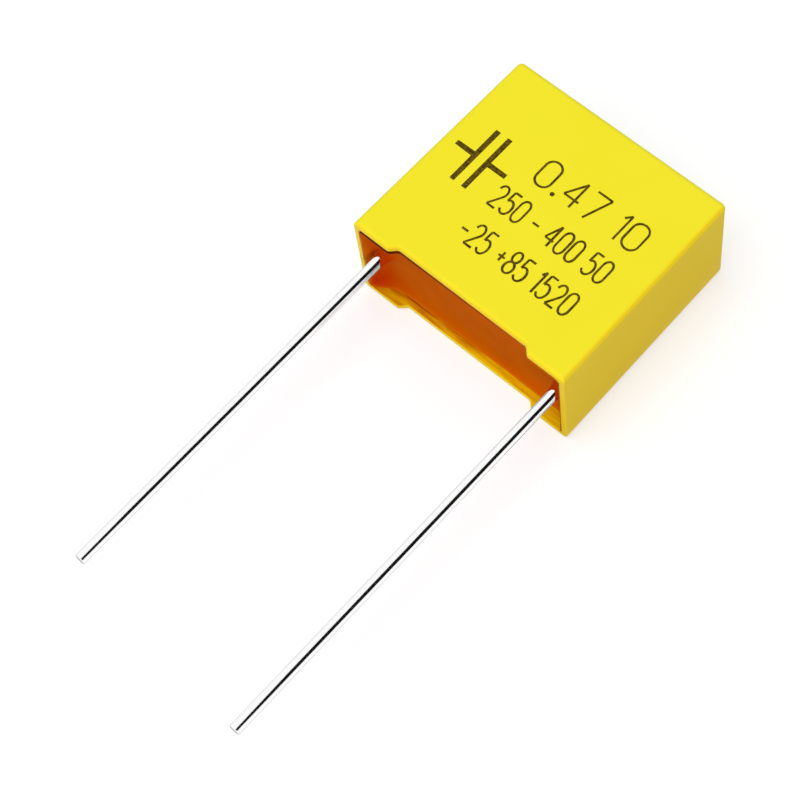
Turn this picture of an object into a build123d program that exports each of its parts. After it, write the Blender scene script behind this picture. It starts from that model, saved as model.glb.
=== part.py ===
from build123d import *
import math
import os

os.makedirs("parts", exist_ok=True)

# Origin midway between the leads on the seating plane of the feet. X runs along the lead pitch,
# Y runs from the feet into the case, Z points out of the marked face. The part lies on its back face.

# Leads
lead_pitch = 15.0
lead_diameter = 0.8
left_lead_length = 27.1  # seating plane to cut end
right_lead_length = 28.7
lead_end_break = 0.05  # edge left by the shears
blade_thickness = 0.45  # wire flattened for the weld, about the section area of the round wire
blade_width = 1.2
weld_length = 8.0  # blade lying on the end spray

# Wound element
winding_thickness = 6.4
winding_height = 12.3
spray_thickness = 0.5

# Moulded case
wall = 0.5
closed_end = 0.75
side_draft = 0.7  # degrees, on the two narrow sides
case_edge_radius = 0.4
cavity_edge_radius = 0.3
foot_length = 3.0  # case end to the start of the notch between the feet
notch_depth = 0.5
shoulder_run = 0.5
shoulder_radius = 0.15

# Clearances that the resin fills
lead_wall_gap = 0.45
winding_wall_gap = 0.5
winding_end_gap = 0.6

# Cast resin
resin_lip = 0.55  # bare wall between the notch and the resin's edge
meniscus_height = 0.3
meniscus_edge = 0.05
resin_cover = 1.1  # resin between its open surface and the winding
collar_height = 0.85  # resin drawn up each lead
collar_width = 0.6
collar_edge = 0.04

lead_radius = lead_diameter / 2
lead_x = lead_pitch / 2
spray_face = lead_x - blade_thickness / 2
film_width = 2 * (spray_face - spray_thickness)

resin_edge = notch_depth + resin_lip
resin_level = resin_edge + meniscus_height
winding_base = resin_level + resin_cover
winding_middle = winding_base + winding_height / 2
cavity_depth = winding_base + winding_height + winding_end_gap

cavity_length = lead_pitch + lead_diameter + 2 * lead_wall_gap
cavity_width = winding_thickness + 2 * winding_wall_gap
case_length = cavity_length + 2 * wall
case_width = cavity_width + 2 * wall
case_height = cavity_depth + closed_end
draft_slope = math.tan(math.radians(side_draft))

seating_plane = Plane((0, 0, 0), x_dir=(1, 0, 0), z_dir=(0, 1, 0))


# Solid box on the seating plane, its sides drawn in and its edges rounded towards the closed end
def drafted_box(length, width, height, edge_radius):
    half = length / 2
    end_half = half - height * draft_slope
    with BuildPart() as box:
        with BuildSketch(Plane.XY.offset(-width / 2)):
            with BuildLine():
                Polyline((-half, 0), (half, 0), (end_half, height), (-end_half, height), close=True)
            make_face()
        extrude(amount=width)
        fillet(box.edges().filter_by_position(Axis.Y, edge_radius, height), edge_radius)
    return box.part


# Space inside the case, as left by the mould core
core = drafted_box(cavity_length, cavity_width, cavity_depth, cavity_edge_radius)

# Case: a box open at the feet, with a notch through both large walls that leaves a foot at each corner
notch_half = case_length / 2 - foot_length
notch_floor_half = notch_half - shoulder_run
with BuildPart() as case:
    add(drafted_box(case_length, case_width, case_height, case_edge_radius))
    add(core, mode=Mode.SUBTRACT)
    with BuildSketch(Plane.XY) as notch:
        with BuildLine():
            Polyline(
                (-notch_half, 0),
                (-notch_floor_half, notch_depth),
                (notch_floor_half, notch_depth),
                (notch_half, 0),
                close=True,
            )
        make_face()
        fillet(notch.vertices().group_by(Axis.Y)[-1], shoulder_radius)
    extrude(amount=case_width, both=True, mode=Mode.SUBTRACT)
case.part.label = "case"
export_step(case.part, "parts/case.step")

# Flat-pressed roll of metallised film
with BuildPart() as film_winding:
    with BuildSketch(Plane.YZ.offset(-film_width / 2)):
        with Locations((winding_middle, 0)):
            SlotOverall(winding_height, winding_thickness)
    extrude(amount=film_width)
film_winding.part.label = "film_winding"
export_step(film_winding.part, "parts/film_winding.step")

# On each side, zinc sprayed on the end of the roll and a wire lead welded to it
embedded_pieces = [film_winding.part]
for side, direction, lead_length in (("left", -1, left_lead_length), ("right", 1, right_lead_length)):
    with BuildPart() as end_spray:
        with BuildSketch(Plane.YZ.offset(direction * film_width / 2)):
            with Locations((winding_middle, 0)):
                SlotOverall(winding_height, winding_thickness)
        extrude(amount=direction * spray_thickness)
    end_spray.part.label = f"{side}_end_spray"
    export_step(end_spray.part, f"parts/{side}_end_spray.step")

    # The wire is round up to the seating plane, then flattened to lie on the end spray
    with BuildPart() as lead:
        with BuildSketch(seating_plane) as wire_section:
            with Locations((direction * lead_x, 0)):
                Circle(lead_radius)
        extrude(amount=-lead_length)
        chamfer(lead.edges().sort_by(Axis.Y)[0], lead_end_break)
        with BuildSketch(seating_plane.offset(winding_base)) as blade_section:
            with Locations((direction * lead_x, 0)):
                SlotOverall(blade_width, blade_thickness, rotation=90)
        loft(sections=[wire_section.sketch, blade_section.sketch])
        extrude(blade_section.sketch, amount=weld_length)
    lead.part.label = f"{side}_lead"
    export_step(lead.part, f"parts/{side}_lead.step")
    embedded_pieces += [end_spray.part, lead.part]

# Dish in the open surface of the resin: flat in the middle, curving up to the walls
dish_length = cavity_length - 2 * meniscus_edge
dish_width = cavity_width - 2 * meniscus_edge
dish_corner_radius = meniscus_height + cavity_edge_radius / 2
with BuildPart() as dish:
    with BuildSketch(seating_plane):
        RectangleRounded(dish_length, dish_width, dish_corner_radius)
    extrude(amount=resin_level)
    fillet(dish.faces().sort_by(Axis.Y)[-1].edges(), meniscus_height)

# Resin drawn up round each lead, cut off by the side wall
collar_top = resin_level - collar_height
collar_top_x = lead_x + lead_radius + collar_edge
collar_base_x = lead_x + lead_radius + collar_width
with BuildPart() as collars:
    with BuildSketch(Plane.XY):
        with BuildLine():
            Polyline(
                (collar_top_x, collar_top),
                (lead_x, collar_top),
                (lead_x, winding_base),
                (collar_base_x, winding_base),
                (collar_base_x, resin_level),
            )
            RadiusArc((collar_base_x, resin_level), (collar_top_x, collar_top), collar_height)
        make_face()
    revolve(axis=Axis((lead_x, 0, 0), (0, 1, 0)))
    mirror(about=Plane.YZ)
    add(core, mode=Mode.INTERSECT)

# Cast resin: fills the case round the wound element and the leads
with BuildPart() as potting_resin:
    add(core)
    with BuildSketch(seating_plane):
        Rectangle(case_length, case_width)
    extrude(amount=resin_edge, mode=Mode.SUBTRACT)
    add(dish.part, mode=Mode.SUBTRACT)
    add(collars.part)
    for piece in embedded_pieces:
        add(piece, mode=Mode.SUBTRACT)
potting_resin.part.label = "potting_resin"
export_step(potting_resin.part, "parts/potting_resin.step")
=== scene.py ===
import math
import bmesh
import bpy
from mathutils import Matrix, Vector, noise
from mathutils.geometry import delaunay_2d_cdt


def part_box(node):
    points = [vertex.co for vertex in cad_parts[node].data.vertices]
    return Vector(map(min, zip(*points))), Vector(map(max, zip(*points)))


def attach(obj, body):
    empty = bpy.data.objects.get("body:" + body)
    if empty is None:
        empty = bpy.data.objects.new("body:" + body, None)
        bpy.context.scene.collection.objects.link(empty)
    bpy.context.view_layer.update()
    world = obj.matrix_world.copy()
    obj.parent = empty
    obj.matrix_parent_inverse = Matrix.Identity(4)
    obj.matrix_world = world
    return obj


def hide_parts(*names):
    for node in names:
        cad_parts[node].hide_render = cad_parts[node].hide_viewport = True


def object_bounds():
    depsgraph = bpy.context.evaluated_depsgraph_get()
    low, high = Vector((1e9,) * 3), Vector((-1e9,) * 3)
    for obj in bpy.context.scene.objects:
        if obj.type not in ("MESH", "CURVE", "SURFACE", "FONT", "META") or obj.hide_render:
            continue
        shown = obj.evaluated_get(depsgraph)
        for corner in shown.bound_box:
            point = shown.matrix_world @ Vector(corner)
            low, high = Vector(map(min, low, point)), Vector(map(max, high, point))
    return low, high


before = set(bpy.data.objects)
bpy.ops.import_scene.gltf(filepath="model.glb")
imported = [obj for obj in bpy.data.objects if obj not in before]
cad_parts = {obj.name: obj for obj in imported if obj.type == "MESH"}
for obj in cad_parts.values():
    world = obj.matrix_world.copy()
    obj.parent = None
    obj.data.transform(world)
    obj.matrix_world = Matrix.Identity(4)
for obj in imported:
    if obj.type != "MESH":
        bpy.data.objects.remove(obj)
cadLow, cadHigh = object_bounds()
scene = bpy.context.scene
mm = 0.001  # in metres, Blender's unit here
print("frame loaded")


# sRGB hex to the linear colour that a shader takes
def linear(hexColour):
    parts = [int(hexColour[i:i + 2], 16) / 255 for i in (1, 3, 5)]
    return (*[part / 12.92 if part <= 0.04045 else ((part + 0.055) / 1.055) ** 2.4 for part in parts], 1)


# Texture scale for a pattern whose features are this many millimetres across
def patternScale(featureMm):
    return 1 / (featureMm * mm)


# Adds a shader node: an input is a constant or a socket to link, and stops fill a colour ramp
def addNode(tree, kind, inputs=None, stops=(), **settings):
    node = tree.nodes.new("ShaderNode" + kind)
    for name, value in settings.items():
        setattr(node, name, value)
    for key, value in (inputs or {}).items():
        if isinstance(value, bpy.types.NodeSocket):
            tree.links.new(value, node.inputs[key])
        else:
            node.inputs[key].default_value = value
    for index, (place, colour) in enumerate(stops):
        elements = node.color_ramp.elements
        stop = elements[index] if index < len(elements) else elements.new(place)
        stop.position = place
        stop.color = linear(colour)
    return node


mixFactor, mixFirst, mixSecond, mixResult = 0, 6, 7, 2  # sockets of a colour Mix node, whose names repeat


# An empty material with its node tree and the object's own coordinates
def newMaterial(name):
    material = bpy.data.materials.new(name)
    material.use_nodes = True
    tree = material.node_tree
    tree.nodes.clear()
    return material, tree, addNode(tree, "TexCoord").outputs["Object"]


# Pigmented polyester from a spark-eroded mould: a satin sheen over very even colour with faint flow clouds
def mouldedPolyester():
    material, tree, place = newMaterial("moulded_polyester")
    clouds = addNode(tree, "TexNoise", {"Vector": place, "Scale": patternScale(5), "Detail": 3})
    pigment = addNode(tree, "ValToRGB", {"Fac": clouds.outputs["Fac"]},
                      [(0.3, "#EFE326"), (0.7, "#F1E52A")])
    # Painted shade: the colour is deeper along the rounded edges
    edge = addNode(tree, "Attribute", attribute_name="paintedEdgeShade").outputs["Fac"]
    edgeShaded = addNode(tree, "Mix", {mixFactor: edge, mixFirst: pigment.outputs["Color"],
                                  mixSecond: linear("#E6BC00")}, data_type="RGBA")
    # Painted warm bounce light from the resin and painted shade, laid on the inner walls as a film of resin
    # that turns the plastic gold, then amber, and brown where it is thick
    bounceShade = addNode(tree, "Attribute", attribute_name="paintedBounceAndShade").outputs["Fac"]
    runs = addNode(tree, "Mapping", {"Vector": place, "Scale": (0.12, 1, 0.12)}).outputs["Vector"]
    streaks = addNode(tree, "TexNoise", {"Vector": runs, "Scale": patternScale(0.3), "Detail": 2})
    spread = addNode(tree, "MapRange", {"Value": streaks.outputs["Fac"], "From Min": 0.35, "From Max": 0.65,
                                        "To Min": 0.7, "To Max": 1.3})
    uneven = addNode(tree, "Math", {0: bounceShade, 1: spread.outputs["Result"]}, operation="MULTIPLY")
    bounceShadeTint = addNode(tree, "ValToRGB", {"Fac": uneven.outputs["Value"]},
                   [(0.2, "#F8DC00"), (0.45, "#EABC00"), (0.75, "#CC8600"), (1, "#A84400")])
    cover = addNode(tree, "MapRange", {"Value": bounceShade, "From Max": 0.2})
    colour = addNode(tree, "Mix", {mixFactor: cover.outputs["Result"], mixFirst: edgeShaded.outputs[mixResult],
                                   mixSecond: bounceShadeTint.outputs["Color"]}, data_type="RGBA")
    # The mould's grain is about 0.05 mm across, drawn three times as coarse so that it shows
    grain = addNode(tree, "TexNoise", {"Vector": place, "Scale": patternScale(0.15), "Detail": 2})
    gloss = addNode(tree, "MapRange", {"Value": grain.outputs["Fac"], "To Min": 0.34, "To Max": 0.46})
    relief = addNode(tree, "Bump", {"Height": grain.outputs["Fac"], "Strength": 0.1, "Distance": 0.01 * mm})
    shader = addNode(tree, "BsdfPrincipled", {
        "Base Color": colour.outputs[mixResult],
        "Roughness": gloss.outputs["Result"],
        "IOR": 1.5,
        "Specular IOR Level": 0.1,
        "Normal": relief.outputs["Normal"],
    })
    addNode(tree, "OutputMaterial", {"Surface": shader.outputs["BSDF"]})
    return material


# Amber epoxy cast in place: warm depth that mirrors almost nothing in its recess, paler where it thins out
def castEpoxy():
    material, tree, place = newMaterial("cast_epoxy")
    thin = addNode(tree, "Attribute", attribute_name="thinness").outputs["Fac"]
    deepAndRootShade = addNode(tree, "Attribute", attribute_name="deepToneAndRootShade").outputs["Fac"]
    # The creep attribute also carries painted shade: a dark brown line where the resin crept up the marked
    # side's wall
    rimShadeMask = addNode(tree, "Attribute", attribute_name="creep").outputs["Fac"]
    clouds = addNode(tree, "TexNoise", {"Vector": place, "Scale": patternScale(1.6), "Detail": 4})
    depth = addNode(tree, "ValToRGB", {"Fac": clouds.outputs["Fac"]}, [(0.3, "#C35F00"), (0.7, "#C96500")])
    # Redder where it is deep, and darker with painted shade round the leads' roots; brown with painted
    # shade where it crept up the marked side's wall; gold where it is thin
    reddenedAndShaded = addNode(tree, "Mix", {mixFactor: deepAndRootShade, mixFirst: depth.outputs["Color"],
                                     mixSecond: linear("#C03A00")}, data_type="RGBA")
    rimShaded = addNode(tree, "Mix", {mixFactor: rimShadeMask, mixFirst: reddenedAndShaded.outputs[mixResult],
                                    mixSecond: linear("#440500")}, data_type="RGBA")
    colour = addNode(tree, "Mix", {mixFactor: thin, mixFirst: rimShaded.outputs[mixResult],
                                   mixSecond: linear("#E89000")}, data_type="RGBA")
    ripple = addNode(tree, "TexNoise", {"Vector": place, "Scale": patternScale(0.7), "Detail": 2})
    gloss = addNode(tree, "MapRange", {"Value": ripple.outputs["Fac"], "To Min": 0.35, "To Max": 0.5})
    relief = addNode(tree, "Bump", {"Height": ripple.outputs["Fac"], "Strength": 0.15,
                                    "Distance": 0.05 * mm})
    shader = addNode(tree, "BsdfPrincipled", {
        "Base Color": colour.outputs[mixResult],
        "Roughness": gloss.outputs["Result"],
        "IOR": 1.55,
        "Specular IOR Level": 0.003,
        "Subsurface Weight": 0.2,
        "Subsurface Radius": (1.0, 0.3, 0.05),
        "Subsurface Scale": 0.3 * mm,
        "Normal": relief.outputs["Normal"],
    })
    addNode(tree, "OutputMaterial", {"Surface": shader.outputs["BSDF"]})
    return material


# Bright tin on drawn wire: near mirror, with fine lines left along it by the drawing die
def tinnedWire():
    material, tree, place = newMaterial("tinned_wire")
    # Die lines are a few microns wide, drawn about 0.08 mm wide so that they show
    along = addNode(tree, "Mapping", {"Vector": place, "Scale": (1, 0.02, 1)}).outputs["Vector"]
    lines = addNode(tree, "TexNoise", {"Vector": along, "Scale": patternScale(0.08), "Detail": 2})
    bright = addNode(tree, "ValToRGB", {"Fac": lines.outputs["Fac"]},
                     [(0.25, "#F6F6F6"), (0.75, "#FEFEFE")])
    gloss = addNode(tree, "MapRange", {"Value": lines.outputs["Fac"], "To Min": 0.06, "To Max": 0.16})
    relief = addNode(tree, "Bump", {"Height": lines.outputs["Fac"], "Strength": 0.06,
                                    "Distance": 0.01 * mm})
    shader = addNode(tree, "BsdfPrincipled", {
        "Base Color": bright.outputs["Color"],
        "Metallic": 1,
        "Roughness": gloss.outputs["Result"],
        "Specular Tint": linear("#A0A0A0"),  # greys the outlines of the wire
        "Normal": relief.outputs["Normal"],
    })
    addNode(tree, "OutputMaterial", {"Surface": shader.outputs["BSDF"]})
    return material


# Film with a vapour-deposited metal skin, wound tight: grey, bright, banded by its turns
def metallisedFilm():
    material, tree, place = newMaterial("metallised_film")
    # A turn is a few microns thick, drawn as bands 0.6 mm apart so that they show
    # (a wave texture repeats about every 0.3 of its unit)
    turns = addNode(tree, "TexWave", {"Vector": place, "Scale": patternScale(2), "Distortion": 1.5},
                    bands_direction="X")
    colour = addNode(tree, "ValToRGB", {"Fac": turns.outputs["Fac"]},
                     [(0.2, "#A9ACB0"), (0.8, "#C4C7CA")])
    gloss = addNode(tree, "MapRange", {"Value": turns.outputs["Fac"], "To Min": 0.2, "To Max": 0.35})
    shader = addNode(tree, "BsdfPrincipled", {
        "Base Color": colour.outputs["Color"],
        "Metallic": 0.8,
        "Roughness": gloss.outputs["Result"],
    })
    addNode(tree, "OutputMaterial", {"Surface": shader.outputs["BSDF"]})
    return material


# Zinc sprayed molten on the roll's ends: dull grey splats that scatter the light
def sprayedZinc():
    material, tree, place = newMaterial("sprayed_zinc")
    splats = addNode(tree, "TexVoronoi", {"Vector": place, "Scale": patternScale(0.15)})
    colour = addNode(tree, "ValToRGB", {"Fac": splats.outputs["Distance"]},
                     [(0.1, "#8E9194"), (0.8, "#6E7174")])
    relief = addNode(tree, "Bump", {"Height": splats.outputs["Distance"], "Strength": 0.8,
                                    "Distance": 0.05 * mm})
    shader = addNode(tree, "BsdfPrincipled", {
        "Base Color": colour.outputs["Color"],
        "Metallic": 1,
        "Roughness": 0.6,
        "Normal": relief.outputs["Normal"],
    })
    addNode(tree, "OutputMaterial", {"Surface": shader.outputs["BSDF"]})
    return material


# Plastic scorched by a marking laser: matt olive brown, uneven along each stroke
def laserMark():
    material, tree, place = newMaterial("laser_mark")
    burn = addNode(tree, "TexNoise", {"Vector": place, "Scale": patternScale(0.18), "Detail": 3})
    colour = addNode(tree, "ValToRGB", {"Fac": burn.outputs["Fac"]}, [(0.35, "#3A2C04"), (0.65, "#705A14")])
    shader = addNode(tree, "BsdfPrincipled", {
        "Base Color": colour.outputs["Color"],
        "Roughness": 0.8,
        "Specular IOR Level": 0.1,
    })
    addNode(tree, "OutputMaterial", {"Surface": shader.outputs["BSDF"]})
    return material


plastic = mouldedPolyester()
epoxy = castEpoxy()
tin = tinnedWire()
mark = laserMark()
print("materials made")


# Makes a mesh object that rides on the part and stands for a CAD node
def addPiece(name, bm, material, node):
    bmesh.ops.recalc_face_normals(bm, faces=bm.faces)
    mesh = bpy.data.meshes.new(name)
    bm.to_mesh(mesh)
    bm.free()
    mesh.materials.append(material)
    piece = bpy.data.objects.new(name, mesh)
    scene.collection.objects.link(piece)
    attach(piece, "root")
    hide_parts(node)
    return piece


# Shades a mesh round, with creases only where faces meet at more than this angle
def creaseAt(bm, degrees):
    for face in bm.faces:
        face.smooth = True
    for edge in bm.edges:
        edge.smooth = edge.calc_face_angle(math.pi) < math.radians(degrees)


# Joins rows of points into a tube of four-sided faces, each row a ring, with a cap on both ends
def joinRows(bm, rows):
    made = [[bm.verts.new(point) for point in row] for row in rows]
    for row, nextRow in zip(made, made[1:]):
        for i in range(len(row)):
            j = (i + 1) % len(row)
            bm.faces.new((row[i], row[j], nextRow[j], nextRow[i]))
    bm.faces.new(made[0])
    bm.faces.new(made[-1])


# Even steps through a quarter turn
def quarterTurns(steps):
    return [math.pi / 2 * i / steps for i in range(steps + 1)]


# Lengths here and below are in millimetres
caseShape = {
    "wall": 0.5,
    "closedEnd": 0.75,
    "draft": 0.7,  # degrees, on the two narrow sides
    "edgeRadius": 0.4,
    "cavityRadius": 0.3,
    "footLength": 3.0,
    "notchDepth": 0.5,
    "shoulderRun": 0.5,
    "shoulderSoftness": 0.25,  # share of the slope that is rounded at each end
    "innerRimRound": 0.05,
    "outerRimRound": (0.1, 0.3),  # on the narrow walls, and on the large ones
    "arcSteps": 8,
    "rimSteps": 6,
    "narrowStops": (-1, -0.5, 0, 0.5),  # points along the narrow walls, as shares of half their width
    "wallStep": 0.75,  # spacing of the points along the large walls
    "innerRows": (1.8, 1.3, 1.0, 0.75, 0.55, 0.38, 0.24, 0.14),  # depths below the rim inside
    "bounceShadeNear": (0.86, 0.5),  # painted bounce and shade at the resin's edge, at the left and right ends
    "bounceShadeFar": (0.48, 0.28),  # towards the rim
    "bounceShadeEnd": -0.15,  # less on the left narrow wall
    "bounceShadeReach": 0.5,  # how far that painted film thins out up the inner wall
    "rimShade": (0.9, 0.1),  # painted shade on the inner edge of the narrow walls' rim, and its width
    "shoulderSteps": 14,
    "paintedEdgeShade": 0.6,  # how much deeper the painted shade makes the colour along the rounded edges
    "weld": 0.0001,  # points nearer than this are one
    "creaseAngle": 50,
}
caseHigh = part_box("case")[1] / mm
draftSlope = math.tan(math.radians(caseShape["draft"]))
cavityHalfX = caseHigh.x - caseShape["wall"]
cavityHalfZ = caseHigh.z - caseShape["wall"]
cavityDepth = caseHigh.y - caseShape["closedEnd"]


# Point on a rounded rectangle; a station is a fixed x or a corner, the side in x and z, and an angle
def outlinePoint(station, halfX, halfZ, radius):
    fixedX, sideX, sideZ, angle = station
    middleX = sideX * (halfX - radius) if fixedX is None else fixedX
    return Vector((middleX + radius * math.cos(angle), sideZ * (halfZ - radius) + radius * math.sin(angle)))


# Smaller of two values with the corner between them rounded
def softMin(first, second, softness):
    overlap = max(softness - abs(first - second), 0) / softness
    return min(first, second) - overlap ** 2 * softness / 4


# How far the open edge is set back at x: nothing on the feet, the notch's depth between them
def rimLevel(x):
    notchHalf = caseHigh.x - caseShape["footLength"]
    slope = (notchHalf - abs(x)) / caseShape["shoulderRun"]
    softness = caseShape["shoulderSoftness"]
    return caseShape["notchDepth"] * -softMin(-softMin(slope, 1, softness), 0, softness)


# Stations round the case: along each narrow wall, round a corner, along a large wall and round the next
def caseStations():
    quarter = math.pi / 2
    turns = quarterTurns(caseShape["arcSteps"])
    notchHalf = caseHigh.x - caseShape["footLength"]
    reach = caseShape["shoulderRun"] * (1 + 2 * caseShape["shoulderSoftness"])
    start = notchHalf + caseShape["shoulderRun"] * caseShape["shoulderSoftness"]
    steps = caseShape["shoulderSteps"]
    shoulder = [start - reach * i / steps for i in range(steps + 1)]
    count = int((cavityHalfX - caseShape["edgeRadius"]) / caseShape["wallStep"])
    even = [i * caseShape["wallStep"] for i in range(-count, count + 1)]
    clear = [x for x in even if all(abs(abs(x) - bend) > reach / steps for bend in shoulder)]
    wallX = sorted(clear + shoulder + [-x for x in shoulder], reverse=True)
    stations = []
    for side, base in ((1, 0), (-1, math.pi)):
        stations += [(None, side, side * share, base) for share in caseShape["narrowStops"]]
        stations += [(None, side, side, base + turn) for turn in turns]
        stations += [(side * x, side, side, base + quarter) for x in wallX]
        stations += [(None, -side, side, base + quarter + turn) for turn in turns[:-1]]
    return stations


# Moulded box: one wall section, with a rounded rim, carried round all the stations
def mouldedCase():
    wall = caseShape["wall"]
    innerRim = caseShape["innerRimRound"]
    stainWidth = caseShape["rimShade"][1]
    stations = caseStations()
    rimTurns = quarterTurns(caseShape["rimSteps"])
    turns = quarterTurns(caseShape["arcSteps"])

    def onWall(station, outward, level):
        taper = level * draftSlope
        inner = outlinePoint(station, cavityHalfX - taper, cavityHalfZ, caseShape["cavityRadius"])
        outer = outlinePoint(station, caseHigh.x - taper, caseHigh.z, caseShape["edgeRadius"])
        point = inner.lerp(outer, outward / wall)
        return Vector((point.x, level, point.y)) * mm

    def onClosedEnd(station, turn, halfX, halfZ, depth, radius):
        inset = radius * (1 - math.cos(turn))
        level = depth - radius * (1 - math.sin(turn))
        point = outlinePoint(station, halfX - level * draftSlope - inset, halfZ - inset, radius - inset)
        return Vector((point.x, level, point.y)) * mm

    def rimAt(station):
        return rimLevel(outlinePoint(station, caseHigh.x, caseHigh.z, caseShape["edgeRadius"]).x)

    def onInnerRim(station, turn):
        outward = innerRim * (1 - math.cos(turn))
        return onWall(station, outward, rimAt(station) + innerRim * (1 - math.sin(turn)))

    def onOuterRim(station, turn):
        narrow, large = caseShape["outerRimRound"]
        radius = narrow + (large - narrow) * math.sin(station[-1]) ** 2
        inset = radius * (1 - math.sin(turn))
        return onWall(station, wall - inset, rimAt(station) + radius * (1 - math.cos(turn)))

    cavity = (cavityHalfX, cavityHalfZ, cavityDepth, caseShape["cavityRadius"])
    outside = (caseHigh.x, caseHigh.z, caseHigh.y, caseShape["edgeRadius"])
    rows = [[onClosedEnd(station, turn, *cavity) for station in stations] for turn in reversed(turns)]
    for depth in caseShape["innerRows"]:
        rows.append([onWall(station, 0, rimAt(station) + depth) for station in stations])
    rows += [[onInnerRim(station, turn) for station in stations] for turn in rimTurns]
    for outward in (stainWidth, stainWidth + innerRim):
        rows.append([onWall(station, outward, rimAt(station)) for station in stations])
    rows += [[onOuterRim(station, turn) for station in stations] for turn in rimTurns]
    rows += [[onClosedEnd(station, turn, *outside) for station in stations] for turn in turns]
    bm = bmesh.new()
    joinRows(bm, rows)
    bmesh.ops.remove_doubles(bm, verts=bm.verts, dist=caseShape["weld"] * mm)
    creaseAt(bm, caseShape["creaseAngle"])
    piece = addPiece("moulded_case", bm, plastic, "case")
    # Large flat walls shade flat up to their rounded edges
    flat = piece.modifiers.new("flatWalls", "WEIGHTED_NORMAL")
    flat.keep_sharp = True
    return piece


casePiece = mouldedCase()
print("case made")


leadShape = {
    "radius": 0.4,
    "endBreak": 0.05,  # edge left by the shears
    "bladeThickness": 0.45,
    "bladeWidth": 1.2,
    "weldLength": 8.0,  # of the blade that lies on the end spray
    "segments": 48,
    "flatteningSteps": 8,
    "midFlat": 0.001,  # sine of the angle below which a point is in the middle of a flat side
    "creaseAngle": 30,
}
leads = {side: [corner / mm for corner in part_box(side + "_lead")] for side in ("left", "right")}
leadX = {side: (low.x + high.x) / 2 for side, (low, high) in leads.items()}
bladeStart = min(high.y for low, high in leads.values()) - leadShape["weldLength"]


# Point on the wire's outline at an angle round its axis, pressed flat by this share
def wireOutline(angle, radius, flattened):
    direction = Vector((math.cos(angle), math.sin(angle)))
    halfThickness = leadShape["bladeThickness"] / 2
    flatHalf = leadShape["bladeWidth"] / 2 - halfThickness
    edge = 0 if abs(direction.y) < leadShape["midFlat"] else math.copysign(flatHalf, direction.y)
    blade = direction * halfThickness + Vector((0, edge))
    return (direction * radius).lerp(blade, flattened)


# Drawn wire: round from its cut end to the case's open edge, then pressed flat for the weld
def drawnWire(side):
    low, high = leads[side]
    radius = leadShape["radius"]
    endBreak = leadShape["endBreak"]
    angles = [2 * math.pi * i / leadShape["segments"] for i in range(leadShape["segments"])]

    def section(level, roundRadius, flattened):
        points = [wireOutline(angle, roundRadius, flattened) for angle in angles]
        return [Vector((leadX[side] + point.x, level, point.y)) * mm for point in points]

    rows = [section(low.y, radius - endBreak, 0), section(low.y + endBreak, radius, 0)]
    for i in range(leadShape["flatteningSteps"] + 1):
        share = i / leadShape["flatteningSteps"]
        rows.append(section(bladeStart * share, radius, share))
    rows.append(section(high.y, radius, 1))
    bm = bmesh.new()
    joinRows(bm, rows)
    creaseAt(bm, leadShape["creaseAngle"])
    addPiece(side + "_wire", bm, tin, side + "_lead")


for side in leads:
    drawnWire(side)
print("leads made")


resinShape = {
    "level": 1.35,  # depth of the flat middle below the feet
    "levelSlack": 0.001,  # faces this little deeper still belong to the flat middle
    "edgeClimb": 0.3,  # rise along all the walls
    "edgeSpread": 0.3,  # how far from the wall it dies out
    "cornerClimb": 0.85,  # extra rise where the resin was poured, in the left back corner
    "cornerReach": 1.3,
    "cornerSpread": 0.7,
    "endClimb": 0.55,  # extra rise along the left narrow wall
    "endSpread": 0.35,
    "thinTint": 0.5,  # how far the colour turns to gold where the resin thins out at the walls
    "thinReach": 0.05,
    "deepReach": 1.6,  # of the redder tone in the left back corner
    "rootShadeReach": 0.25,  # and of the painted shade round the leads
    "creepGap": 0.005,  # resin crept up the marked side's wall to this far below the rim
    "creepWidth": 0.44,
    "endWidth": 0.08,  # of the film crept up the narrow walls
    "creepEdge": 0.025,  # softness of the film's lower edge
    "creepShade": (1.1, -0.2),  # how dark the painted shade on that film is at the left and right ends
    "rimRoom": 0.15,  # the resin stays at least this far below the feet
    "collarTop": 0.15,  # where the resin drawn up the leads ends, below the feet
    "collarSpread": 0.13,  # how far from the wire it dies out
    "collarLean": 0.08,  # how much lower it ends on the marked side
    "waviness": 0.03,  # height of the slow waves in the skin
    "waveLength": 1.5,
    "facesLead": -0.3,  # a face whose normal points this far towards a lead is the wall of its hole
    "edgeStep": 0.15,  # spacing of the skin's points along the walls
    "gridStep": 0.22,  # and in the middle
    "wallRings": (0.04, 0.12, 0.22, 0.31, 0.37, 0.41, 0.45, 0.5, 0.62),  # of points, inwards from the wall
    "wallClear": 0.02,  # the skin's points stay this far from the wall
    "leadRings": (0.07, 0.11, 0.16, 0.23, 0.34, 0.49),  # of points, outwards from the wire
    "leadRingPoints": 40,
    "skinWeld": 0.00001,  # points of the skin nearer than this are one
    "creaseAngle": 60,
}
resinHalfX = cavityHalfX - resinShape["level"] * draftSlope


# Distance from the cavity's wall to a point inside it
def wallGap(x, z):
    radius = caseShape["cavityRadius"]
    outX = max(abs(x) - resinHalfX + radius, 0)
    outZ = max(abs(z) - cavityHalfZ + radius, 0)
    if outX > 0 and outZ > 0:
        return radius - math.hypot(outX, outZ)
    return min(resinHalfX - abs(x), cavityHalfZ - abs(z))


# Axis of the nearer lead
def nearLead(x):
    return min(leadX.values(), key=lambda axisX: abs(x - axisX))


# Distance from the nearer lead's axis, and the angle round it
def leadGap(x, z):
    offset = x - nearLead(x)
    return math.hypot(offset, z), math.atan2(z, offset)


# Value at x of something that changes evenly from the left end of the cavity to the right
def alongCase(x, atLeft, atRight):
    return atLeft + (atRight - atLeft) * (x + cavityHalfX) / (2 * cavityHalfX)


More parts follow.
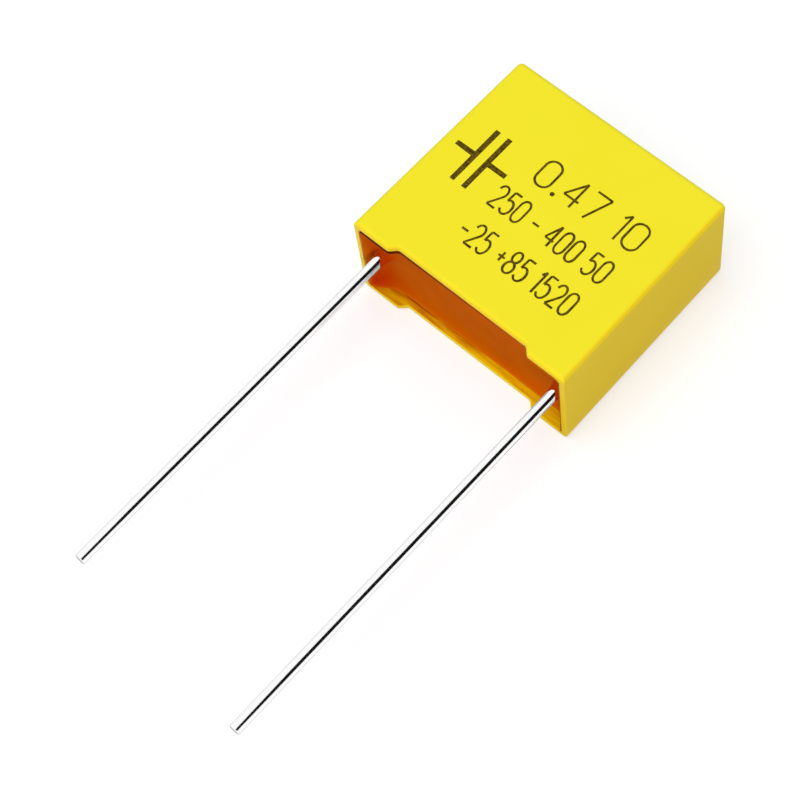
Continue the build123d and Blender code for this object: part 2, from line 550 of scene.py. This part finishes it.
# How far a film that crept up a wall stands for the resin's skin, this far from the wall
def filmShare(gap, width):
    return 1 / (1 + math.exp((gap - width) / resinShape["creepEdge"]))


# The film on the marked side's wall
def markedFilm(z):
    return filmShare(cavityHalfZ - z, resinShape["creepWidth"])


# The film on the two narrow walls
def endFilm(x):
    return filmShare(resinHalfX - abs(x), resinShape["endWidth"])


# Where the resin drawn up a lead ends, at an angle round it
def collarLevel(angle):
    return resinShape["collarTop"] + resinShape["collarLean"] * math.sin(angle)


# Where the resin's skin stands at x, z: drawn up the walls, high in one corner, and up the leads
def resinLevel(x, z):
    gap = max(wallGap(x, z), 0)
    corner = math.hypot(x + cavityHalfX, z + cavityHalfZ) / resinShape["cornerReach"]
    cornerClimb = resinShape["cornerClimb"] * math.exp(-corner ** 2)
    climb = resinShape["edgeClimb"] * math.exp(-gap / resinShape["edgeSpread"])
    climb += cornerClimb * math.exp(-gap / resinShape["cornerSpread"])
    endGap = max(cavityHalfX + x, 0)
    climb += resinShape["endClimb"] * math.exp(-endGap / resinShape["endSpread"])
    climb = min(climb, resinShape["level"] - resinShape["rimRoom"])
    wave = noise.noise(Vector((x, z, 0)) / resinShape["waveLength"]) * resinShape["waviness"]
    distance, angle = leadGap(x, z)
    hold = min(math.exp((leadShape["radius"] - distance) / resinShape["collarSpread"]), 1)
    level = (resinShape["level"] - climb + wave) * (1 - hold) + collarLevel(angle) * hold
    creep = max(markedFilm(z), endFilm(x))
    return level * (1 - creep) + min(rimLevel(x) + resinShape["creepGap"], level) * creep


# Whether a face of the CAD form is open surface: no deeper than the flat middle and not in a lead's hole
def isOpenSurface(face):
    middle = face.calc_center_median() / mm
    distance, angle = leadGap(middle.x, middle.z)
    facing = face.normal.x * math.cos(angle) + face.normal.z * math.sin(angle)
    inHole = distance < leadShape["bladeWidth"] / 2 and facing < resinShape["facesLead"]
    deepest = max(vert.co.y for vert in face.verts) / mm
    return deepest < resinShape["level"] + resinShape["levelSlack"] and not inHole


# The CAD node's closed form without its open surface, finely divided along the border that is left
def resinBody():
    bm = bmesh.new()
    bm.from_mesh(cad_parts["potting_resin"].data)
    bmesh.ops.remove_doubles(bm, verts=bm.verts, dist=caseShape["weld"] * mm)
    bmesh.ops.recalc_face_normals(bm, faces=bm.faces)
    bmesh.ops.delete(bm, geom=[face for face in bm.faces if isOpenSurface(face)], context="FACES")
    for edge in [edge for edge in bm.edges if edge.is_boundary]:
        cuts = int(edge.calc_length() / mm / resinShape["edgeStep"])
        if cuts:
            bmesh.ops.subdivide_edges(bm, edges=[edge], cuts=cuts)
    bmesh.ops.triangulate(bm, faces=[face for face in bm.faces if len(face.verts) > 3])
    return bm


# Lifts the border's points to the skin's level, those round a lead onto its wire, and returns the latter
def liftBorder(borderVerts):
    holeVerts = set()
    for vert in borderVerts:
        x = vert.co.x / mm
        z = vert.co.z / mm
        distance, angle = leadGap(x, z)
        if distance < leadShape["bladeWidth"] / 2:
            holeVerts.add(vert)
            onWire = wireOutline(angle, leadShape["radius"], collarLevel(angle) / bladeStart)
            x = nearLead(x) + onWire.x
            z = onWire.y
        vert.co = Vector((x, resinLevel(x, z), z)) * mm
    return holeVerts


# Points of the skin in x and z: rings close to the walls and leads, and an even grid between them
def skinPoints():
    points = []
    for inset in resinShape["wallRings"]:
        sideX = resinHalfX - inset
        sideZ = cavityHalfZ - inset
        countX = int(2 * sideX / resinShape["edgeStep"])
        countZ = int(2 * sideZ / resinShape["edgeStep"])
        for side in (-1, 1):
            points += [(sideX * (2 * i / countX - 1), side * sideZ) for i in range(countX + 1)]
            points += [(side * sideX, sideZ * (2 * i / countZ - 1)) for i in range(1, countZ)]
    radius = leadShape["radius"]
    count = resinShape["leadRingPoints"]
    turns = [2 * math.pi * i / count for i in range(count)]
    for axisX in leadX.values():
        for offset in resinShape["leadRings"]:
            reach = radius + offset
            points += [(axisX + reach * math.cos(turn), reach * math.sin(turn)) for turn in turns]
    countX = int(2 * resinHalfX / resinShape["gridStep"])
    countZ = int(2 * cavityHalfZ / resinShape["gridStep"])
    for i in range(countX + 1):
        for k in range(countZ + 1):
            x = resinHalfX * (2 * i / countX - 1)
            z = cavityHalfZ * (2 * k / countZ - 1)
            inMiddle = wallGap(x, z) > resinShape["wallRings"][-1]
            if inMiddle and leadGap(x, z)[0] > radius + resinShape["leadRings"][-1]:
                points.append((x, z))
    offWall = [point for point in points if wallGap(*point) > resinShape["wallClear"]]
    return [point for point in offWall if leadGap(*point)[0] > radius + resinShape["leadRings"][0] / 2]


# Marks where the resin is thin and gold, where deep and red, where painted shade darkens it round the
# leads, and where it crept up the wall and painted shade makes it brown
def toneResin(piece):
    thinness = piece.data.attributes.new("thinness", "FLOAT", "POINT")
    deepToneAndRootShade = piece.data.attributes.new("deepToneAndRootShade", "FLOAT", "POINT")
    creep = piece.data.attributes.new("creep", "FLOAT", "POINT")
    for vert in piece.data.vertices:
        x, y, z = vert.co / mm
        fade = max(math.exp(-max(wallGap(x, z), 0) / resinShape["thinReach"]), endFilm(x))
        thinness.data[vert.index].value = resinShape["thinTint"] * fade * (1 - markedFilm(z))
        corner = math.hypot(x + cavityHalfX, z + cavityHalfZ) / resinShape["deepReach"]
        root = (leadGap(x, z)[0] - leadShape["radius"]) / resinShape["rootShadeReach"]
        deepToneAndRootShade.data[vert.index].value = max(math.exp(-corner ** 2), math.exp(-max(root, 0)))
        # Painted shade darkens the film crept up the marked side's wall, most towards the left end
        creep.data[vert.index].value = markedFilm(z) * max(alongCase(x, *resinShape["creepShade"]), 0)


# Cast resin: the CAD node's closed form with its open surface drawn again as a fine skin
def castResin():
    bm = resinBody()
    border = [edge for edge in bm.edges if edge.is_boundary]
    borderVerts = list(dict.fromkeys(vert for edge in border for vert in edge.verts))  # each once, in order
    holeVerts = liftBorder(borderVerts)
    flat = [Vector((vert.co.x / mm, vert.co.z / mm)) for vert in borderVerts]
    flat += [Vector(point) for point in skinPoints()]
    lines = [tuple(borderVerts.index(vert) for vert in edge.verts) for edge in border]
    withinBorder = 1  # the kind of result that has no triangles outside the lines
    made = delaunay_2d_cdt(flat, lines, [], withinBorder, resinShape["skinWeld"])
    points, triangles, sources = made[0], made[2], made[3]
    verts = []
    for point, source in zip(points, sources):
        if source and source[0] < len(borderVerts):
            verts.append(borderVerts[source[0]])
        else:
            verts.append(bm.verts.new(Vector((point.x, resinLevel(point.x, point.y), point.y)) * mm))
    for triangle in triangles:
        corners = [verts[i] for i in triangle]
        if not holeVerts.issuperset(corners):  # with all its corners on a wire it lies in the wire's hole
            bm.faces.new(corners)
    bmesh.ops.delete(bm, geom=[vert for vert in bm.verts if not vert.link_faces], context="VERTS")
    creaseAt(bm, resinShape["creaseAngle"])
    piece = addPiece("cast_resin", bm, epoxy, "potting_resin")
    toneResin(piece)
    return piece


# Paints shade on the case's four long rounded edges, by how far their normals turn from the flat walls
def paintEdgeShade(piece):
    paintedEdgeShade = piece.data.attributes.new("paintedEdgeShade", "FLOAT", "POINT")
    midway = 1 - math.cos(math.pi / 4)
    for vert, value in zip(piece.data.vertices, paintedEdgeShade.data):
        x, y, z = [abs(part) for part in vert.normal]
        turned = (1 - max(x, z)) * (1 - y) ** 2
        value.value = caseShape["paintedEdgeShade"] * min(turned / midway, 1) ** 2


# Whether a point lies on the inner edge of a narrow wall's rim, where shade is painted
def onNarrowRim(x, y, z):
    outward = abs(x) - cavityHalfX
    onEdge = 0 < outward < caseShape["rimShade"][1] + caseShape["weld"]
    offCorner = abs(z) < cavityHalfZ - caseShape["cavityRadius"] / 2
    return onEdge and offCorner and y < caseShape["innerRimRound"]


# Marks the painted warm bounce and shade on the case's inner walls, as a film of resin thinning out towards
# the rim
def paintBounceAndShade(piece):
    bounceShade = piece.data.attributes.new("paintedBounceAndShade", "FLOAT", "POINT")
    reach = caseShape["bounceShadeReach"]
    for vert, value in zip(piece.data.vertices, bounceShade.data):
        x, y, z = vert.co / mm
        halfX = cavityHalfX - y * draftSlope
        if min(halfX + x, halfX - x, cavityHalfZ - abs(z)) > -caseShape["weld"]:
            bare = max(resinLevel(x, z) - y, 0)
            end = caseShape["bounceShadeEnd"] * math.exp(-max(halfX + x, 0) / reach)
            thick, thin = [alongCase(x, *caseShape[key]) for key in ("bounceShadeNear", "bounceShadeFar")]
            value.value = thin + end + (thick - thin) * math.exp(-bare / reach)
        elif onNarrowRim(x, y, z):
            value.value = caseShape["rimShade"][0]


resinPiece = castResin()
paintBounceAndShade(casePiece)
paintEdgeShade(casePiece)
for piece in (casePiece, resinPiece):
    piece.visible_glossy = False  # the bright leads mirror the studio right up to their roots
print("resin made")


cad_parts["film_winding"].data.materials[0] = metallisedFilm()
zinc = sprayedZinc()
for side in leads:
    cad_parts[side + "_end_spray"].data.materials[0] = zinc
print("wound element finished")


arcStep = 15  # degrees between the points of an arc


# Points along an arc of an ellipse, angles in degrees from the right
def arc(x, y, radiusX, radiusY, start, end):
    steps = max(2, int(abs(end - start) / arcStep))
    turns = [math.radians(start + (end - start) * i / steps) for i in range(steps + 1)]
    return [(x + radiusX * math.cos(turn), y + radiusY * math.sin(turn)) for turn in turns]


# Strokes of each sign, one unit high
glyphs = {
    "0": [arc(0.27, 0.73, 0.27, 0.27, 0, 180) + arc(0.27, 0.27, 0.27, 0.27, 180, 360) + [(0.54, 0.73)]],
    "1": [[(0.1, 0.8), (0.27, 1)], [(0.27, 1), (0.27, 0)]],
    "2": [arc(0.27, 0.73, 0.26, 0.27, 170, -40) + [(0.02, 0)], [(0.02, 0), (0.54, 0)]],
    "4": [[(0.4, 0), (0.4, 1)], [(0.4, 1), (0, 0.3)], [(0, 0.3), (0.54, 0.3)]],
    "5": [[(0.5, 1), (0.08, 1)], [(0.08, 1), (0.05, 0.55)], arc(0.25, 0.32, 0.29, 0.32, 130, -150)],
    "7": [[(0, 1), (0.54, 1)], [(0.54, 1), (0.18, 0)]],
    "8": [arc(0.27, 0.76, 0.23, 0.24, -90, 270), arc(0.27, 0.26, 0.27, 0.26, 90, 450)],
    ".": [arc(0.04, 0.04, 0.04, 0.04, 0, 360)],
    "-": [[(0.06, 0.45), (0.48, 0.45)]],
    "+": [[(0.06, 0.45), (0.48, 0.45)], [(0.27, 0.24), (0.27, 0.66)]],
    " ": [[(0, 0), (0.2, 0)]],  # only its width is used
}
printLayout = {
    "lines": {  # text, start and end in x, baseline in y, height
        "value_numbers": ("0.47 10", -2.1, 6.3, 9.55, 2.1),
        "rating_numbers": ("250 - 400 50", -3.2, 6.1, 6.5, 1.75),
        "range_numbers": ("-25 +85 1520", -3.2, 5.9, 3.4, 1.75),
    },
    "gap": 0.2,  # between signs, in the units of their strokes
    "stroke": 0.165,
    "ink": 0.006,  # how far the mark stands off the plastic
    "roundness": 2,  # steps of the strokes' rounded section
    "unevenness": 0.25,  # how much the strokes' width changes along them
    "changes": 2,  # of that width, per millimetre
}
symbolLayout = {
    "centre": (-5.6, 8.7),
    "plateHeight": 4.6,
    "plateGap": 1.0,
    "wireLength": 1.6,
    "stroke": 0.38,
}


# Lays flat strokes on the marked face as one curve piece
def markedPiece(name, strokes, width):
    curve = bpy.data.curves.new(name, "CURVE")
    curve.dimensions = "3D"
    curve.bevel_depth = width / 2 * mm
    curve.bevel_resolution = printLayout["roundness"]
    curve.use_fill_caps = True
    for stroke in strokes:
        spline = curve.splines.new("POLY")
        spline.points.add(len(stroke) - 1)
        for point, (x, y) in zip(spline.points, stroke):
            point.co = (x * mm, y * mm, 0, 1)
            uneven = noise.noise(Vector((x, y, 0)) * printLayout["changes"])
            point.radius = 1 + printLayout["unevenness"] * uneven
    curve.materials.append(mark)
    piece = bpy.data.objects.new(name, curve)
    piece.location.z = caseHigh.z * mm
    piece.scale.z = printLayout["ink"] / (width / 2)
    scene.collection.objects.link(piece)
    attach(piece, "root")


# Lines of plain numbers, each stretched to its place
def printedLines():
    for name, (text, startX, endX, baseline, height) in printLayout["lines"].items():
        edges = []
        for sign in text:
            across = [x for stroke in glyphs[sign] for x, y in stroke]
            edges.append((min(across), max(across)))
        length = sum(high - low for low, high in edges) + printLayout["gap"] * (len(text) - 1)
        unit = (endX - startX) / length
        strokes = []
        left = startX
        for sign, (low, high) in zip(text, edges):
            if sign != " ":
                for stroke in glyphs[sign]:
                    strokes.append([(left + (x - low) * unit, baseline + y * height) for x, y in stroke])
            left += (high - low + printLayout["gap"]) * unit
        markedPiece(name, strokes, printLayout["stroke"])


# The plain circuit-diagram sign for a capacitor: two plates, a wire to each
def printedSymbol():
    x, y = symbolLayout["centre"]
    half = symbolLayout["plateHeight"] / 2
    strokes = []
    for side in (-1, 1):
        plate = x + side * symbolLayout["plateGap"] / 2
        strokes.append([(plate, y - half), (plate, y + half)])
        strokes.append([(plate, y), (plate + side * symbolLayout["wireLength"], y)])
    markedPiece("capacitor_sign", strokes, symbolLayout["stroke"])


printedLines()
printedSymbol()
print("marking made")


studio = {
    "floorSize": 2000,
    "paper": "#BCBCBC",
    "paperLift": 0.54,  # brightness added to the paper where it is seen
    "sky": "#FFFFFF",
    "skyLevel": 0.54,  # strength of the light from all round
    "lamps": {  # colour, power in watts, size, place
        "key": ("#F2F9FF", 1.5, 400, (-60, -115, 480)),
        "fill": ("#FF9858", 0.82, 250, (300, -330, 80)),
    },
    "flags": {  # cards seen only in reflections: colour, place, facing, size
        "black_card": ("#1A1A1A", (210, 60, 394), (-571, 0, -180), (900, 599)),
        # The next two cards are painted shadow: they stand for the part's shadow on the paper where the
        # case's side and the leads mirror it
        "grey_shadow_card": ("#C4C4C4", (14, 10.75, -4.15), (0, 0, 1), (10, 20.5)),
        "front_shadow_card": ("#404040", (6.2, -1.8, -4.15), (0, 0, 1), (6.6, 3.4)),
        "low_card": ("#1A1A1A", (70, 40, 10), (-1, 0, 0), (40, 28)),
    },
}


# Adds a stage-only flat panel with its own material, square to the direction given
def addPanel(name, place, facing, size, material):
    bm = bmesh.new()
    bmesh.ops.create_grid(bm, x_segments=1, y_segments=1, size=0.5)
    mesh = bpy.data.meshes.new(name)
    bm.to_mesh(mesh)
    bm.free()
    mesh.materials.append(material)
    panel = bpy.data.objects.new(name, mesh)
    panel.location = Vector(place) * mm
    panel.rotation_euler = Vector(facing).to_track_quat("Z", "Y").to_euler()
    panel.scale = (size[0] * mm, size[1] * mm, 1)
    scene.collection.objects.link(panel)
    return panel


# 1 where a surface is seen, mirrored or looked at through glass, and 0 where it lights other things
def seenDirectly(tree):
    path = addNode(tree, "LightPath")
    mirrored = addNode(tree, "Math", {0: path.outputs["Is Camera Ray"], 1: path.outputs["Is Glossy Ray"]},
                       operation="MAXIMUM")
    seen = addNode(tree, "Math", {0: mirrored.outputs["Value"], 1: path.outputs["Is Transmission Ray"]},
                   operation="MAXIMUM")
    return seen.outputs["Value"]


# White paper sweep that takes the part's soft shadow and goes to white away from it
def paperMaterial():
    material, tree = newMaterial("white_paper")[:2]
    lift = addNode(tree, "Math", {0: seenDirectly(tree), 1: studio["paperLift"]}, operation="MULTIPLY")
    paper = addNode(tree, "BsdfDiffuse", {"Color": linear(studio["paper"])})
    glow = addNode(tree, "Emission", {"Strength": lift.outputs["Value"]})
    both = addNode(tree, "AddShader", {0: paper.outputs["BSDF"], 1: glow.outputs["Emission"]})
    addNode(tree, "OutputMaterial", {"Surface": both.outputs["Shader"]})
    return material


# Card of one grey for the shiny surfaces to mirror
def cardMaterial(name, colour):
    material, tree = newMaterial(name)[:2]
    card = addNode(tree, "BsdfDiffuse", {"Color": linear(colour)})
    addNode(tree, "OutputMaterial", {"Surface": card.outputs["BSDF"]})
    return material


# Floor, cards and lamps in even white surroundings, full white wherever they are seen or mirrored
def lightStudio():
    floorSize = studio["floorSize"]
    addPanel("floor", (0, 0, cadLow.z / mm), (0, 0, 1), (floorSize, floorSize), paperMaterial())
    for name, (colour, place, facing, size) in studio["flags"].items():
        card = addPanel(name, place, facing, size, cardMaterial(name, colour))
        card.visible_camera = False
        card.visible_diffuse = False
        card.visible_shadow = False
    world = bpy.data.worlds.new("studio")
    world.use_nodes = True
    scene.world = world
    tree = world.node_tree
    tree.nodes.clear()
    dome = addNode(tree, "Background", {"Color": linear(studio["sky"]), "Strength": studio["skyLevel"]})
    white = addNode(tree, "Background", {"Color": linear("#FFFFFF"), "Strength": 1})
    both = addNode(tree, "MixShader", {0: seenDirectly(tree), 1: dome.outputs["Background"],
                                       2: white.outputs["Background"]})
    addNode(tree, "OutputWorld", {"Surface": both.outputs["Shader"]})
    for name, (colour, power, size, place) in studio["lamps"].items():
        light = bpy.data.lights.new(name, "AREA")
        light.color = linear(colour)[:3]
        light.energy = power
        light.size = size * mm
        lamp = bpy.data.objects.new(name, light)
        lamp.location = Vector(place) * mm
        lamp.rotation_euler = (-lamp.location).to_track_quat("-Z", "Y").to_euler()
        lamp.visible_glossy = False
        scene.collection.objects.link(lamp)


lightStudio()
print("studio lit")


cameraView = {
    "aim": (0.35, -6.1, 0),
    "distance": 151.3,
    "azimuth": 52.06,  # degrees from -Y towards +X
    "elevation": 63.79,
    "roll": -10.79,
    "lens": 107.55,
    "sensorWidth": 36,
    "clip": (1, 10000),  # nearest and farthest that is seen
}


# Camera at the photo's angle, turned about its line of sight as the photo is
def placeCamera():
    azimuth, elevation = [math.radians(cameraView[key]) for key in ("azimuth", "elevation")]
    level = math.cos(elevation)
    back = Vector((math.sin(azimuth) * level, -math.cos(azimuth) * level, math.sin(elevation)))
    data = bpy.data.cameras.new("camera")
    data.lens = cameraView["lens"]
    data.sensor_width = cameraView["sensorWidth"]
    data.clip_start, data.clip_end = [distance * mm for distance in cameraView["clip"]]
    camera = bpy.data.objects.new("camera", data)
    turned = (-back).to_track_quat("-Z", "Y").to_matrix().to_4x4()
    roll = Matrix.Rotation(math.radians(cameraView["roll"]), 4, "Z")
    place = (Vector(cameraView["aim"]) + back * cameraView["distance"]) * mm
    camera.matrix_world = Matrix.Translation(place) @ turned @ roll
    scene.collection.objects.link(camera)
    scene.camera = camera
    scene.view_settings.view_transform = "Standard"


placeCamera()
print("camera placed")
